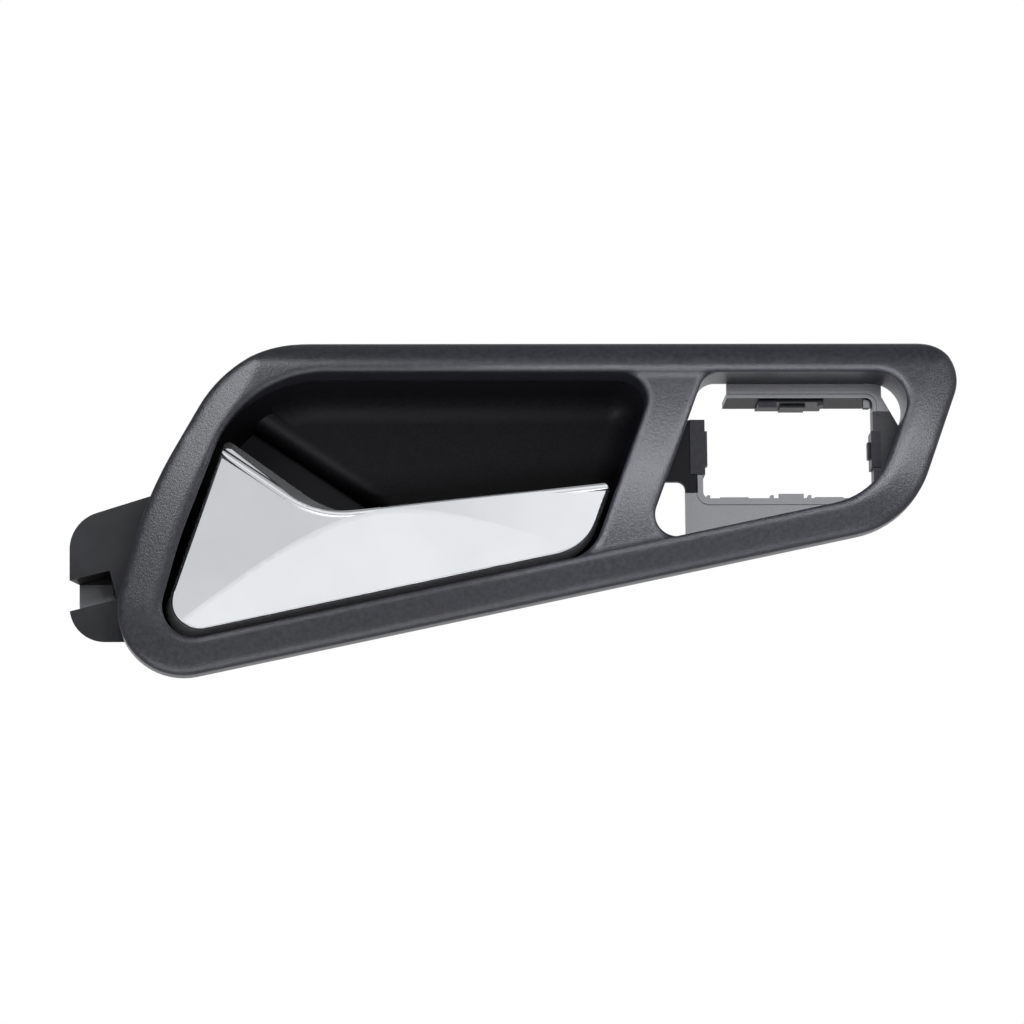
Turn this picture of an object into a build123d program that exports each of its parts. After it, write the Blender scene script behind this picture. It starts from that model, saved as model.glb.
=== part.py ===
"""Car interior door handle: bezel, pocket bowl, pull lever on a sprung hinge, switch frame."""

import os
from math import atan2, cos, degrees, hypot, radians, sin, sqrt, tan

from build123d import *

os.makedirs("parts", exist_ok=True)

# Millimetres and degrees. X is to the right, Y is back into the door, Z is up.
# The origin is midway between the two panel screws, on the plane where the rim meets the panel.

# Construction shapes reach this far past the part, and their free corners have this radius.
# A point this near to a face lies on it.
FAR = 250.0
FREE_R = 1.0
OVER = 1.0
ON_FACE = 0.02

# Bezel outline: each edge by where it crosses an axis, and how it leans.
TOP_Z = 30.4
BOTTOM_Z = -46.6
BOTTOM_RISE = 11.9
RIGHT_X = 113.2
RIGHT_LEAN = 19.6
LEFT_X = -113.0
LEFT_LEAN_UPPER = 30.0
LEFT_LEAN_LOWER = 15.0
LEFT_BEND_Z = -16.5
R_TOP_LEFT = 39.0
R_LEFT_BEND = 125.0
R_BOTTOM_LEFT = 19.5
R_BOTTOM_RIGHT = 29.0
R_TOP_RIGHT = 12.0

# Bezel bars, the pocket's left lip and the divider between the pocket and the switch window.
# The lip stands over the pocket's left wall, where the lever's edge swings back.
TOP_BAR = 9.5
BOTTOM_BAR = 10.4
RIGHT_BAR = 12.2
DIVIDER_X = 29.0
DIVIDER_LEAN = 20.3
DIVIDER_W = 13.1
DIVIDER_STEP = 1.2
PANEL_LAP = 3.0
LIP_X = -101.4
LIP_LEAN_UPPER = 21.0
LIP_LEAN_LOWER = 15.7
LIP_BEND_Z = -29.0
LIP_OVER = 1.4
LIP_T = 2.4
PANEL_REACH = 20.0
R_POCKET_TOP_LEFT = 36.0
R_POCKET_BEND = 110.0
R_POCKET_LOW_LEFT = 11.0
R_LIP_LOW_LEFT = 9.5
R_POCKET_LOW_RIGHT = 13.0
R_POCKET_TOP_RIGHT = 8.0
R_WINDOW_TOP_LEFT = 6.0
R_WINDOW_LOW_LEFT = 6.5
R_WINDOW_LOW_RIGHT = 24.0
R_WINDOW_TOP_RIGHT = 9.0

# Bezel section.
FRONT_TOP_Y = -8.8
FALL_W = 9.0
FALL = 1.5
ROLL_R = 8.2
ROLL_OVER = 0.3
SKIN = 2.8
RIM_W = 2.2
WALL = 2.0
OUTER_EDGE_R = 1.2
LIP_R = 1.1
COLLAR_Y = 7.0
FRAME_SEAT_Y = 11.5
RIB_T = 1.4
RIB_GAP = 28.0
RIB_BACK_Y = -1.5
BOSS_SKIN = 1.2

# Screws: two hold the handle to the panel, the others hold its pieces to the bezel.
PANEL_SPACING = 217.5
PANEL_BOSS_R = 3.6
PANEL_HOLE_DEPTH = 5.4
PANEL_HOLE_R = 1.5
BOSS_R = 2.7
SCREW_R = 1.2
SCREW_RUN = 0.06
SCREW_HOLE_R = 1.45
SCREW_HEAD_R = 2.2
SCREW_HEAD_H = 1.5
SCREW_BITE = 6.5
LOBE_R = 3.3
SCREW_OUT = 4.6
SCREW_ACCESS_R = 3.6
SCREW_TIP = 0.5
BOWL_SCREW_LEFT_X = -62.0
BOWL_SCREW_RIGHT_X = 2.0
BOWL_SCREW_LOW_X = -12.0
SIDE_SCREW_IN = 5.9
TAB_HIGH_Z = 14.0
TAB_MID_Z = -24.0
TAB_LOW_Z = -48.0
FRAME_SCREW_LEFT_X = 60.0
FRAME_SCREW_RIGHT_X = 92.0
FRAME_SCREW_LOW_X = 66.0
FRAME_SCREW_SIDE_Z = -3.0
FRAME_SCREW_SIDE_IN = 2.0

# Pocket bowl.
FLANGE_W = 4.0
SHEET = 2.2
BOWL_DEPTH = 24.0
BOWL_DRAFT = 10.0
BOWL_FLOOR_R = 8.0
RIM_Y = 31.5
ROLL_OFF_R = 6.0
ROLL_OFF_X = -50.0
ROLL_OFF_Z = -17.0
ROLL_OFF_FALL = 34.0
R_ROLL_OFF_BEND = 14.0

# Pull lever: gaps to the pocket at its rear, and the shape of its top edge at the front.
LEVER_LEFT_X = -99.8
LEVER_LEAN = 19.6
LEVER_GAP_BOTTOM = 1.3
LEVER_GAP_RIGHT = 1.5
LEVER_TOP_Z = -13.2
LEVER_TOP_RISE = 6.5
LEVER_DIP_X = -71.4
LEVER_DIP_FALL = 36.0
R_LEVER_TOP_LEFT = 2.0
R_LEVER_DIP = 27.0
R_LEVER_TIP = 1.6
R_LEVER_END = 16.0
R_LEVER_LOW_LEFT = 8.6
LEVER_REAR_Y = 3.2
LEVER_BACK_Y = 5.4
LEVER_BACK_R = 1.8
FLARE_SIDE = 0.12
FLARE_TOP = 0.03
FLARE_DIP = 0.5
FLARE_FROM_Y = -4.0
CREST_X = -30.0
CREST_Z = -27.6
CREST_Y = -6.2
CREST_RISE = 9.0
CREST_R = 150.0
SHOULDER_X = -42.0
SHOULDER_Z = -102.0
SHOULDER_R = 80.9
SHOULDER_Y = -5.99
SHOULDER_TILT = 8.5
SHOULDER_SOFT = 0.12
LEVER_SKIN = 2.0
BEAD_R = 1.5
BEAD_IN = 1.1
BEAD_SUNK = 0.5
LEVER_EDGE_R = 0.8
CORE_FIT = 0.15
CORE_WALL = 2.0
CORE_LEFT = 8.0
CORE_RIB_T = 1.6
CORE_RIB_GAP = 16.0
CORE_RIB_FIRST = 12.0
CORE_RIBS = 5
COVER_BOSS_R = 2.7
COVER_SCREW_R = 1.1
COVER_HEAD_R = 2.1
COVER_SCREW_L = 7.0
COVER_BOSS_GAP = 0.1
COVER_SCREW_LEFT_X = -51.4
COVER_SCREW_RIGHT_X = -3.4

# Hinge: the axis runs parallel to the lever's left edge.
HINGE_OFFSET = 13.3
HINGE_Z = -27.2
HINGE_Y = 5.0
PULL = 30.0
PIN_R = 2.0
PIN_RUN = 0.06
PIN_SEAT = 0.02
PIN_HEAD_R = 3.2
PIN_HEAD_T = 1.2
PIN_TAIL = 1.6
PIN_CHAMFER = 0.4
RETAINER_R = 3.8
RETAINER_T = 0.6
EAR_T = 3.4
EAR_R = 4.2
EAR_FOOT = 7.5
EAR_KNEE = 11.0
KNUCKLE_R = 4.4
KNUCKLE_L = 6.4
KNUCKLE_WEB_IN = 0.4
SIDE_PLAY = 0.25
SPRING_BAY = 14.4
WIRE_R = 0.57
WIRE_FLATS = 8
COIL_R = 3.6
COIL_TURNS = 4.5
COIL_L = 12.6
LEG_FIXED = 20.0
LEG_MOVING = 13.0
LEG_GROW = 0.03
LEG_POST_T = 2.4
LEG_POST_H = 3.0
LEG_HOLD = 6.0
ARM_L = 18.0
ARM_T = 3.6
ARM_HALF = 2.6
ARM_TIP_R = 3.2
LEG_PLAY = 0.2
LUG_Y = 9.0
LUG_H = 3.0
CABLE_HOLE_R = 1.5
CABLE_SLOT = 1.4
PAD_T = 1.6
PAD_AT = 11.2
PAD_H = 4.4
PAD_GAP = 0.12
PAD_LOW = 0.4
POST_T = 2.2
POST_FOOT = 9.2

# Hinge housing and its cable seat.
HOUSING_GAP = 0.3
HOUSING_WALL = 2.4
BLOCK_X = -145.2
BLOCK_ROOT_X = -108.0
BLOCK_TOP_X = -118.9
BLOCK_TOP_Z = -12.6
BLOCK_LOW_Z = -57.3
BLOCK_RISE = 17.5
R_BLOCK_TOP = 11.5
R_BLOCK_LOW = 10.5
BLOCK_TAPER = 5.5
GROOVE_W = 9.0
GROOVE_Z = -40.8
GROOVE_X = -135.0
GROOVE_RISE = 14.0
GROOVE_END_X = -132.2
GROOVE_FLOOR_Y = 22.0
CABLE_SLOT_W = 2.6
CABLE_SLOT_Y = 14.0
TAB_T = 3.0

# Switch frame in the right window.
SWITCH_Z = 1.35
SWITCH_H = 30.5
SWITCH_R = 2.0
FRAME_LAP = 5.0
FRAME_T = 2.2
FRAME_WALL = 1.8
NOTCH_R = 2.5
RAIL_LEFT_IN = 7.5
FOOT_LEFT_OUT = 5.4
FOOT_TOP = 2.1
RAIL_RIGHT_OUT = 2.7
GUSSET_W = 5.4
GUSSET_H = 9.6
GUSSET_Z = 7.4
TUNNEL_TOP = 15.0
TUNNEL_SIDE = 5.0
BEAD_LINE_IN = 1.2
BEAD_LINE_W = 0.8
BEAD_LINE_H = 0.5
HOOK_H = 1.3
HOOK_W = 8.6
HOOK_FIRST_IN = 5.5
HOOK_LAST_IN = 8.7
HOOK_T = 1.5
MID_HOOK_LEFT = 3.0
MID_HOOK_RIGHT = 4.5
GUIDE_T = 1.0
GUIDE_H = 0.9
GUIDE_IN = 1.6
GUIDE_LEFT = 5.0
GUIDE_RIGHT = 6.3
BARB_W = 1.8
BARB_H = 2.6
BARB_L = 3.0
BARB_IN = 1.6
ROOT = 0.5
CLIP_T = 0.6
CLIP_FIT = 0.05
CLIP_LEFT_CLEAR = 0.7
CLIP_RIGHT_CLEAR = 0.9
CLIP_LEFT_LEAF = 3.8
CLIP_RIGHT_LEAF = 2.2
CLIP_TONGUE = 0.9
CLIP_TONGUE_W = 3.2
CLIP_TONGUE_IN = 3.0
CLIP_MARGIN = 3.0
CLIP_LEFT_Z = 1.6
CLIP_LEFT_H = 16.6
CLIP_RIGHT_Z = 0.9
CLIP_RIGHT_H = 11.0
CLIP_TOP_SIDE = 1.5
CLIP_TOP_W = 19.6
CLIP_TOP_IN = 1.0
CLIP_TOP_LAP = 6.0
LATCH_W = 5.4
LATCH_L = 2.0
LATCH_H = 2.2
PRESS_LEFT = 6.8
PRESS_RIGHT = 5.2
PRESS_FRONT = 5.0
PRESS_BACK = 2.0
STOP_W = 1.6
STOP_L = 3.0
STOP_H = 1.6


def shifted(edge, inward):
    """The edge (x, z, heading) moved to its left by inward."""
    x, z, heading = edge
    a = radians(heading)
    return (x - inward * sin(a), z + inward * cos(a), heading)


def along(edge, distance):
    """The point on an edge at a distance from its start, as (x, z)."""
    x, z, heading = edge
    return (x + distance * cos(radians(heading)), z + distance * sin(radians(heading)))


def at_x(edge, x):
    """The point on an edge above or below x."""
    ex, ez, heading = edge
    return (x, ez + (x - ex) * tan(radians(heading)))


def at_z(edge, z):
    """The point on an edge level with z."""
    ex, ez, heading = edge
    return (ex + (z - ez) / tan(radians(heading)), z)


def meet(a, b):
    """The point where two edges cross."""
    ax, az, ah = a
    bx, bz, bh = b
    da = (cos(radians(ah)), sin(radians(ah)))
    db = (cos(radians(bh)), sin(radians(bh)))
    t = ((bx - ax) * db[1] - (bz - az) * db[0]) / (da[0] * db[1] - da[1] * db[0])
    return (ax + t * da[0], az + t * da[1])


def outline(edges, radii):
    """A face inside edges taken in turn; each radius rounds the corner where that edge ends."""
    corners = [meet(e, edges[(i + 1) % len(edges)]) for i, e in enumerate(edges)]
    return make_face(FilletPolyline(*corners, radius=radii, close=True))


def prism(face, y_front, y_back):
    """A face drawn in X and Z, made solid between two depths."""
    return Pos(0, y_back, 0) * extrude(Plane.XZ * face, y_back - y_front)


def rod(place, radius, y_front, y_back):
    """A round bar along Y at (x, z)."""
    return prism(Pos(*place) * Circle(radius), y_front, y_back)


def block(x0, x1, y0, y1, z0, z1):
    """A box between two corners."""
    return Pos((x0 + x1) / 2, (y0 + y1) / 2, (z0 + z1) / 2) * Box(x1 - x0, y1 - y0, z1 - z0)


def edges_on(solid, face, y_limit):
    """The front edges of a solid that run along a face's outline."""
    rail = (Plane.XZ * face).faces()[0].outer_wire()
    found = []
    for e in solid.edges():
        middle = e @ 0.5
        if middle.Y < y_limit and rail.distance_to(Vector(middle.X, 0, middle.Z)) < 0.03:
            found.append(e)
    return found


def save(name, shape, colour):
    """Write one node as a STEP file."""
    solids = shape.solids()
    shape = solids[0] if len(solids) == 1 else Compound(children=list(solids))
    shape.label = name
    shape.color = Color(*colour)
    export_step(shape, f"parts/{name}.step")


BLACK = (0.09, 0.09, 0.10)
DARK = (0.05, 0.05, 0.06)
CHROME = (0.85, 0.86, 0.88)
STEEL = (0.6, 0.6, 0.62)
RUBBER = (0.03, 0.03, 0.03)

# The edges of the bezel, with the inside on the left of each.
bottom = (0, BOTTOM_Z, BOTTOM_RISE)
right = (RIGHT_X, 0, 90 - RIGHT_LEAN)
top = (0, TOP_Z, 180)
left_upper = (LEFT_X, 0, 270 - LEFT_LEAN_UPPER)
left_lower = (*at_z(left_upper, LEFT_BEND_Z), 270 - LEFT_LEAN_LOWER)
outer = outline(
    [bottom, right, top, left_upper, left_lower],
    [R_BOTTOM_RIGHT, R_TOP_RIGHT, R_TOP_LEFT, R_LEFT_BEND, R_BOTTOM_LEFT],
)

lip_upper = (LIP_X, 0, 270 - LIP_LEAN_UPPER)
lip_lower = (*at_z(lip_upper, LIP_BEND_Z), 270 - LIP_LEAN_LOWER)
divider = (DIVIDER_X, 0, 90 - DIVIDER_LEAN)
divider_back = (DIVIDER_X, 0, 270 - DIVIDER_LEAN)
pocket_edges = [
    shifted(bottom, BOTTOM_BAR),
    shifted(divider, DIVIDER_W / 2),
    shifted(top, TOP_BAR),
    shifted(lip_upper, -LIP_OVER),
    shifted(lip_lower, -LIP_OVER),
]
pocket = outline(
    pocket_edges,
    [R_POCKET_LOW_RIGHT, R_POCKET_TOP_RIGHT, R_POCKET_TOP_LEFT, R_POCKET_BEND, R_POCKET_LOW_LEFT],
)
window_right = shifted(right, RIGHT_BAR)
window_left = shifted(divider_back, DIVIDER_W / 2)
window = outline(
    [shifted(bottom, BOTTOM_BAR), window_right, shifted(top, TOP_BAR), window_left],
    [R_WINDOW_LOW_RIGHT, R_WINDOW_TOP_RIGHT, R_WINDOW_TOP_LEFT, R_WINDOW_LOW_LEFT],
)
opening = outline(
    [pocket_edges[0], window_right, pocket_edges[2], lip_upper, lip_lower],
    [
        R_WINDOW_LOW_RIGHT,
        R_WINDOW_TOP_RIGHT,
        R_POCKET_TOP_LEFT,
        R_POCKET_BEND,
        R_LIP_LOW_LEFT,
    ],
)
panel_zone = outline(
    [
        shifted(bottom, BOTTOM_BAR - PANEL_LAP),
        shifted(divider, -PANEL_REACH),
        shifted(top, TOP_BAR - PANEL_LAP),
        shifted(divider_back, -PANEL_REACH),
    ],
    [FREE_R] * 4,
)

# Screw places, as (x, z).
panel_screws = [(-PANEL_SPACING / 2, 0), (PANEL_SPACING / 2, 0)]
top_middle = shifted(top, TOP_BAR - SCREW_OUT)
bottom_middle = shifted(bottom, BOTTOM_BAR - SCREW_OUT)
left_middle = shifted(left_lower, SIDE_SCREW_IN)
bowl_screws = [
    at_x(top_middle, BOWL_SCREW_LEFT_X),
    at_x(top_middle, BOWL_SCREW_RIGHT_X),
    at_x(bottom_middle, BOWL_SCREW_LOW_X),
]
housing_screws = [
    at_z(shifted(left_upper, SIDE_SCREW_IN), TAB_HIGH_Z),
    at_z(left_middle, TAB_MID_Z),
    at_z(left_middle, TAB_LOW_Z),
]
frame_screws = [
    at_x(top_middle, FRAME_SCREW_LEFT_X),
    at_x(top_middle, FRAME_SCREW_RIGHT_X),
    at_x(bottom_middle, FRAME_SCREW_LOW_X),
    at_z(shifted(divider_back, FRAME_SCREW_SIDE_IN), FRAME_SCREW_SIDE_Z),
]
lap_y = COLLAR_Y + SHEET
front = FRONT_TOP_Y - OVER


def crown(depth):
    """All that lies behind the bezel's front surface moved back by depth."""
    head = TOP_Z + ROLL_OVER - depth
    foot = 2 * BOTTOM_Z
    face_y = FRONT_TOP_Y + depth
    corners = [(FAR, head), (face_y, head), (face_y, foot), (FAR, foot)]
    radii = [FREE_R, ROLL_R - depth, FREE_R, FREE_R]
    section = make_face(FilletPolyline(*corners, radius=radii, close=True))
    return Pos(-FAR, 0, 0) * extrude(Plane.YZ * section, 2 * FAR)


def sloped():
    """All that lies behind the ring's slope, which falls from the openings to the outer edge."""
    ends = []
    for y in (front, OVER):
        inset = FALL_W * (1 - (y - FRONT_TOP_Y) / FALL)
        edges = [
            shifted(bottom, inset),
            shifted(right, inset),
            shifted(top, -FALL_W),
            shifted(left_upper, inset),
            shifted(left_lower, inset),
        ]
        radii = [R_BOTTOM_RIGHT - inset, FREE_R, FREE_R, R_LEFT_BEND - inset, R_BOTTOM_LEFT - inset]
        ends.append(Pos(0, y, 0) * (Plane.XZ * outline(edges, [max(r, FREE_R) for r in radii])))
    return loft(ends, ruled=True)


def boss(place, radius, y_back):
    """A screw boss grown from the bezel's skin."""
    return rod(place, radius, front, y_back) & crown(BOSS_SKIN)


# Bezel: crowned plate, opened for pocket and window, then hollowed from behind.
bezel = prism(outer, front, 0) & crown(0) & sloped()
bezel = fillet(edges_on(bezel, outer, -OVER), OUTER_EDGE_R)
bezel -= prism(opening, front, OVER)
bezel = fillet(edges_on(bezel, opening, -OVER), LIP_R)
bezel -= prism(pocket, FRONT_TOP_Y + LIP_T, OVER)
panel = prism(panel_zone, front, 0) & crown(DIVIDER_STEP)
panel -= prism(pocket, front, OVER) + prism(window, front, OVER)
panel = fillet(edges_on(panel, pocket, -OVER) + edges_on(panel, window, -OVER), LIP_R)
bezel += panel
collars = offset(pocket, WALL) + offset(window, WALL)
hollow = prism(offset(outer, -RIM_W) - collars, FRONT_TOP_Y, OVER) & crown(SKIN)
ribs = None
reach = (RIGHT_X - LEFT_X) / 2
for i in range(int(2 * reach / RIB_GAP) + 1):
    x, z = at_x(bottom_middle, -reach + i * RIB_GAP)
    rib = prism(Pos(x, z) * Rot(0, 0, BOTTOM_RISE) * Rectangle(RIB_T, BOTTOM_BAR), front, RIB_BACK_Y)
    top_rib = prism(Pos(x, TOP_Z - TOP_BAR / 2) * Rectangle(RIB_T, TOP_BAR), front, RIB_BACK_Y)
    ribs = rib + top_rib if ribs is None else ribs + rib + top_rib
bezel -= hollow - ribs
bezel += prism(offset(pocket, WALL) - pocket, -OVER, COLLAR_Y)
bezel += prism(offset(window, WALL) - window, -OVER, FRAME_SEAT_Y)
seats = [(place, COLLAR_Y) for place in bowl_screws + housing_screws]
seats += [(place, FRAME_SEAT_Y) for place in frame_screws]
for place, seat in seats:
    bezel += boss(place, BOSS_R, seat) - prism(pocket, front, FAR) - prism(window, front, FAR)
for place in panel_screws:
    bezel += boss(place, PANEL_BOSS_R, 0)
for place, seat in seats:
    bezel -= rod(place, SCREW_R + SCREW_RUN, seat - SCREW_BITE - OVER, seat + OVER)
for place in panel_screws:
    bezel -= rod(place, PANEL_HOLE_R, -PANEL_HOLE_DEPTH, OVER)
save("bezel", bezel, BLACK)

# Pocket bowl: a dish whose floor rolls off into the open hinge bay on the left.
fall = (ROLL_OFF_X, ROLL_OFF_Z, 180 - ROLL_OFF_FALL)
drop = (ROLL_OFF_X, ROLL_OFF_Z, 90)
bay_low = (0, -FAR, 0)
bay_left = (-FAR, 0, 270)
bay_edges = [bay_low, drop, fall, bay_left]


def bay(grow):
    """The hinge bay seen from the front, grown outward."""
    edges = [shifted(e, -grow) for e in bay_edges]
    return outline(edges, [FREE_R, R_ROLL_OFF_BEND + grow, FREE_R, FREE_R])


def dish(grow):
    """The inside of the bowl grown outward."""
    mouth = Pos(0, COLLAR_Y, 0) * (Plane.XZ * offset(pocket, grow))
    deep = extrude(mouth, BOWL_DEPTH - COLLAR_Y + grow, dir=(0, 1, 0), taper=BOWL_DRAFT)
    floor_edges = deep.faces().sort_by(Axis.Y)[-1].edges()
    return fillet(floor_edges, BOWL_FLOOR_R + grow)


def horn(grow, roll, y_back):
    """The hinge bay with a rounded mouth, where the bowl's floor rolls off into it."""
    level = BOWL_DEPTH + grow
    body = prism(bay(grow + ROLL_OFF_R + OVER), COLLAR_Y, level) + prism(bay(grow), COLLAR_Y, y_back)
    rail = (Plane.XZ * bay(grow)).faces()[0].outer_wire()
    mouth = []
    for e in body.edges():
        m = e @ 0.5
        if abs(m.Y - level) < ON_FACE and rail.distance_to(Vector(m.X, 0, m.Z)) < ON_FACE:
            mouth.append(e)
    return fillet(mouth, roll)


def cup(grow, roll, y_back):
    """The inside of the bowl and its hinge bay, grown outward."""
    mouth = Pos(0, COLLAR_Y, 0) * (Plane.XZ * offset(pocket, grow))
    sides = extrude(mouth, y_back - COLLAR_Y, dir=(0, 1, 0), taper=BOWL_DRAFT)
    return dish(grow) + (horn(grow, roll, y_back) & sides)


bowl = cup(SHEET, ROLL_OFF_R - SHEET, RIM_Y) - cup(0, ROLL_OFF_R, RIM_Y + OVER)
flange = offset(pocket, FLANGE_W)
for place in bowl_screws + housing_screws:
    flange += Pos(*place) * Circle(LOBE_R)
for place in panel_screws:
    flange -= Pos(*place) * Circle(SCREW_ACCESS_R)
bowl += prism(flange - offset(pocket, SHEET / 2), COLLAR_Y, lap_y)
for place in bowl_screws + housing_screws:
    bowl -= rod(place, SCREW_HOLE_R, COLLAR_Y - OVER, lap_y + OVER)

# Hinge frame: local x runs toward the lever's free end, y back, z up along the pin.
lean = radians(LEVER_LEAN)
lever_left = (LEVER_LEFT_X, 0, 270 - LEVER_LEAN)
foot = at_z(lever_left, HINGE_Z)
pin_x = foot[0] + HINGE_OFFSET * cos(lean)
pin_z = foot[1] - HINGE_OFFSET * sin(lean)
hinge = Plane((pin_x, HINGE_Y, pin_z), (cos(lean), 0, -sin(lean)), (sin(lean), 0, cos(lean))).location
bay_half = SPRING_BAY / 2
knuckle_end = bay_half + KNUCKLE_L
ear_in = knuckle_end + SIDE_PLAY
ear_out = ear_in + EAR_T
floor_y = RIM_Y + HOUSING_GAP
floor_at = floor_y - HINGE_Y
rest_turn = Rot(0, 0, PULL / 2)
open_turn = Rot(0, 0, -PULL / 2)
arm_top = -bay_half
arm_low = arm_top - ARM_T


def strip(start, heading, length, width):
    """A straight band from a point (x, z) along a heading."""
    return Pos(*along((*start, heading), length / 2)) * Rot(0, 0, heading) * Rectangle(length, width)


half_turn = radians(PULL / 2)


def swung(x, y):
    """A point beside the cable arm, in the hinge frame, with the arm at rest."""
    return (x * cos(half_turn) - y * sin(half_turn), x * sin(half_turn) + y * cos(half_turn))


def slab(face, z0, z1):
    """A face across the hinge axis, made solid between two heights along it."""
    return Pos(0, 0, z0) * extrude(face, z1 - z0)


# Hinge housing: a shell round the bay, the cable block on its left, ears for the pin.
grown = SHEET + HOUSING_GAP
shell = cup(grown + HOUSING_WALL, ROLL_OFF_R - grown - HOUSING_WALL, floor_y + HOUSING_WALL)
housing = shell & prism(bay(grown + HOUSING_WALL), lap_y, FAR)
block_y = floor_y + HOUSING_WALL


def cable_block(inset, y_front, y_back):
    """The block round the cable seat, which narrows toward its back."""
    ends = []
    for y in (y_front, y_back):
        inward = inset + BLOCK_TAPER * (y - lap_y) / (block_y - lap_y)
        edges = [
            shifted((0, BLOCK_LOW_Z, 0), inward),
            (BLOCK_ROOT_X, 0, 90),
            shifted((BLOCK_TOP_X, BLOCK_TOP_Z, 180 + BLOCK_RISE), inset),
            shifted((BLOCK_X, 0, 270), inward),
        ]
        ends.append(Pos(0, y, 0) * (Plane.XZ * outline(edges, [FREE_R, FREE_R, R_BLOCK_TOP, R_BLOCK_LOW])))
    return loft(ends, ruled=True)


groove_line = (GROOVE_X, GROOVE_Z, GROOVE_RISE)
groove_end = at_x(groove_line, GROOVE_END_X)
groove = strip(groove_end, GROOVE_RISE + 180, groove_end[0] - 2 * BLOCK_X, GROOVE_W)
hook_at = hinge * Pos(*swung(0, ARM_L), arm_top - ARM_T / 2)
hook_x, hook_z = hook_at.position.X, hook_at.position.Z
pull_heading = degrees(atan2(hook_z - groove_end[1], hook_x - groove_end[0]))
cable_slot = strip(groove_end, pull_heading, hook_x - groove_end[0], CABLE_SLOT_W)
saved = offset(groove, HOUSING_WALL) + offset(cable_slot, HOUSING_WALL)
for place in housing_screws:
    saved += Pos(*place) * Circle(SCREW_HEAD_R + HOUSING_WALL)
block_hollow = cable_block(HOUSING_WALL, lap_y + HOUSING_WALL, block_y + OVER) - prism(saved, lap_y, FAR)
housing += cable_block(0, lap_y, block_y) - (block_hollow - housing)
for place in housing_screws:
    housing += rod(place, LOBE_R, lap_y, lap_y + TAB_T)
housing -= cup(grown, ROLL_OFF_R - grown, floor_y)
housing -= prism(groove, lap_y - OVER, GROOVE_FLOOR_Y)
housing -= prism(cable_slot, CABLE_SLOT_Y, floor_y)
for place in housing_screws:
    housing -= rod(place, SCREW_HOLE_R, lap_y - OVER, lap_y + TAB_T + OVER)
    housing -= rod(place, SCREW_HEAD_R + HOUSING_GAP, lap_y + TAB_T, block_y + OVER)
ear_face = Circle(EAR_R) + make_face(
    Polyline(
        (-EAR_R, 0),
        (EAR_R, 0),
        (EAR_R, EAR_KNEE),
        (EAR_FOOT, floor_at + ROOT),
        (-EAR_FOOT, floor_at + ROOT),
        (-EAR_R, EAR_KNEE),
        close=True,
    )
)
ear_face -= Circle(PIN_R + PIN_SEAT)
housing += hinge * slab(ear_face, ear_in, ear_out)
housing += hinge * slab(ear_face, -ear_out, -ear_in)
pad_in = ARM_HALF + PAD_GAP
pad_out = pad_in + PAD_T
pad_y0 = PAD_AT - PAD_H / 2
post_face = make_face(
    Polyline(
        swung(-pad_out, pad_y0),
        swung(-pad_out, pad_y0 + PAD_H),
        (-POST_FOOT, floor_at + ROOT),
        (-POST_FOOT - POST_T, floor_at + ROOT),
        swung(-pad_out - POST_T, pad_y0),
        close=True,
    )
)
rest_post = slab(post_face, arm_low, arm_top - PAD_LOW)
open_post = mirror(rest_post, about=Plane.YZ)
leg_x = COIL_R - WIRE_R
spring_z = COIL_L / 2
post_x = LEG_PLAY - leg_x
post_z = spring_z - LEG_POST_H / 2
leg_post = block(
    post_x, post_x + LEG_POST_T, LEG_FIXED - LEG_HOLD, floor_at + ROOT, post_z, post_z + LEG_POST_H
)
housing += hinge * (rest_post + open_post + leg_post)
bowl -= prism(cable_slot, CABLE_SLOT_Y, RIM_Y + OVER)
save("pocket_bowl", bowl, DARK)
save("hinge_housing", housing, BLACK)

# Rubber pads that stop the cable arm at rest and at full pull.
rest_pad = rest_turn * block(-pad_out, -pad_in, pad_y0, pad_y0 + PAD_H, arm_low, arm_top - PAD_LOW)
open_pad = open_turn * block(pad_in, pad_out, pad_y0, pad_y0 + PAD_H, arm_low, arm_top - PAD_LOW)
save("rest_bumper", hinge * rest_pad, RUBBER)
save("open_bumper", hinge * open_pad, RUBBER)

# Hinge pin with a flat head, and the push-on washer at its other end.
pin_top = ear_out + RETAINER_T + PIN_TAIL
pin = slab(Circle(PIN_R), -ear_out - PIN_HEAD_T, pin_top)
pin = chamfer(pin.edges().sort_by(Axis.Z)[-1:], PIN_CHAMFER)
pin += slab(Circle(PIN_HEAD_R), -ear_out - PIN_HEAD_T, -ear_out)
save("hinge_pin", hinge * pin, STEEL)
retainer = slab(Circle(RETAINER_R) - Circle(PIN_R + PIN_SEAT), ear_out, ear_out + RETAINER_T)
save("pin_retainer", hinge * retainer, STEEL)

# Return spring: a left-hand torsion coil, one leg on the housing and one on the arm.
# Its wire has a few flats, which keep the coil's faces simple.
coil_path = Helix(COIL_L / COIL_TURNS, COIL_L, COIL_R, lefthand=True)
wire = RegularPolygon(WIRE_R, WIRE_FLATS)
coil = sweep(Plane(coil_path @ 0, z_dir=coil_path % 0) * wire, path=coil_path, is_frenet=True)
spring = Pos(0, 0, -spring_z) * coil
leg = RegularPolygon(WIRE_R + LEG_GROW, WIRE_FLATS)
spring += Pos(COIL_R, -WIRE_R, -spring_z) * extrude(Plane.XZ * leg, -LEG_MOVING)
spring += Pos(-COIL_R, -WIRE_R, spring_z) * extrude(Plane.XZ * leg, -LEG_FIXED)
save("return_spring", hinge * spring, STEEL)

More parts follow.
